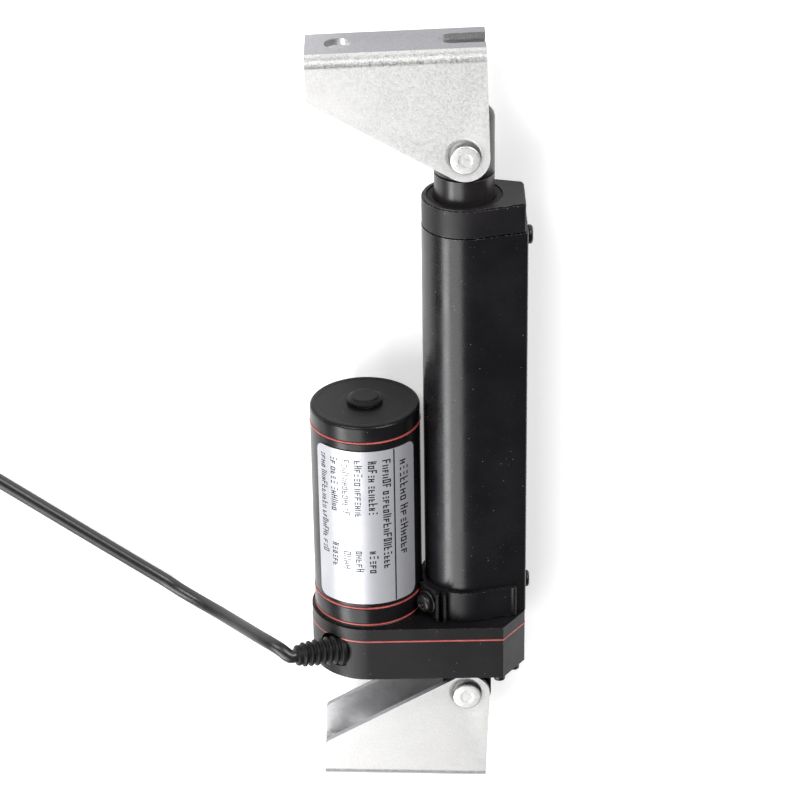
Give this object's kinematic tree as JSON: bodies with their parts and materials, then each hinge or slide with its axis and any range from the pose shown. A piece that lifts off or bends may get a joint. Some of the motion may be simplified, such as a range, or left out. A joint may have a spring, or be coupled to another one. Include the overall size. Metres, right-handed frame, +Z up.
{
  "type": "linear actuator",
  "caption": "Electric linear actuator with a side motor, gear case, sliding rod, two U-shaped hinge brackets and a two-core supply lead.",
  "frame": {"origin": "under the middle of the actuator, on the table it lies on, lead and coil not counted", "axes": "+Y along the rod towards the rod end, +X from the motor towards the tube, +Z up from the table"},
  "size_m": [0.2672, 0.2782, 0.0439],
  "materials": {
    "black_paint": "satin",
    "black_steel": "satin",
    "zinc": "fine matt zinc plate",
    "steel": "ground",
    "red_gasket": "satin",
    "foil": "satin foil",
    "rubber": "matt",
    "cord_pvc": "satin",
    "nylon": "satin",
    "brass": "machined",
    "ferrite": "matt",
    "windings": "enamelled",
    "board": "satin"
  },
  "bodies": {
    "housing": {"gear_case_lower": "black_paint", "gear_case_gasket": "red_gasket", "gear_case_upper": "black_paint", "motor_gasket_lower": "red_gasket", "motor_adapter_ring": "black_paint", "motor_gasket_middle": "red_gasket", "motor_shell": "black_paint", "motor_gasket_upper": "red_gasket", "motor_end_cap": "black_paint", "motor_end_plug": "black_paint", "name_plate": "foil", "motor_magnet_a": "ferrite", "motor_magnet_b": "ferrite", "motor_bearing_front": "steel", "motor_bearing_rear": "steel", "motor_brush_plate": "nylon", "idler_axle": "steel", "screw_bearing": "steel", "outer_tube": "black_paint", "front_cap": "black_paint", "rod_bush": "nylon", "rod_wiper_seal": "rubber", "tube_strap": "black_paint", "strap_washer": "black_steel", "strap_screw": "black_steel", "tube_screw_upper": "black_steel", "tube_screw_lower": "black_steel", "case_screw_1": "black_steel", "case_screw_2": "black_steel", "case_screw_3": "black_steel", "case_screw_4": "black_steel", "case_screw_5": "black_steel", "switch_board": "board", "limit_switch_rear": "rubber", "limit_switch_front": "rubber", "strain_relief": "rubber", "supply_lead": "cord_pvc", "supply_lead_coil": "cord_pvc"},
    "rotor": {"motor_shaft": "steel", "motor_armature": "windings", "motor_commutator": "windings", "motor_pinion": "brass"},
    "idler": {"idler_gear": "nylon"},
    "screw": {"lead_screw": "steel", "output_gear": "nylon"},
    "rod": {"rod_tube": "black_paint", "rod_end": "black_paint", "drive_nut": "brass"},
    "front_hinge_bracket": {"front_bracket": "zinc", "front_pin": "zinc"},
    "rear_hinge_bracket": {"rear_bracket": "zinc", "rear_pin": "zinc"}
  },
  "joints": [
    {"name": "motor_spin", "type": "hinge", "parent": "housing", "child": "rotor", "pos_m": [-0.0149, -0.04247, 0.0201], "axis": [0, -1, 0], "range_deg": [0, 117300]},
    {"name": "idler_turn", "type": "hinge", "parent": "housing", "child": "idler", "pos_m": [0.00169, -0.08246, 0.02271], "axis": [0, -1, 0], "range_deg": [-32000, 0]},
    {"name": "screw_turn", "type": "hinge", "parent": "housing", "child": "screw", "pos_m": [0.0191, -0.08246, 0.0201], "axis": [0, -1, 0], "range_deg": [0, 12000]},
    {"name": "rod_slide", "type": "slide", "parent": "housing", "child": "rod", "axis": [0, 1, 0], "range_m": [0, 0.1]},
    {"name": "front_bracket_pivot", "type": "hinge", "parent": "rod", "child": "front_hinge_bracket", "pos_m": [0.0191, 0.10254, 0.0201], "axis": [0, 0, 1], "range_deg": [-85, 60]},
    {"name": "rear_bracket_pivot", "type": "hinge", "parent": "housing", "child": "rear_hinge_bracket", "pos_m": [0.0191, -0.10247, 0.0201], "axis": [0, 0, 1], "range_deg": [-30, 85]}
  ],
  "couplings": [
    {"joint": "idler_turn", "follows": "motor_spin", "ratio": -0.27273},
    {"joint": "screw_turn", "follows": "motor_spin", "ratio": 0.10227},
    {"joint": "rod_slide", "follows": "motor_spin", "m_per_rad": 0.000048832}
  ]
}
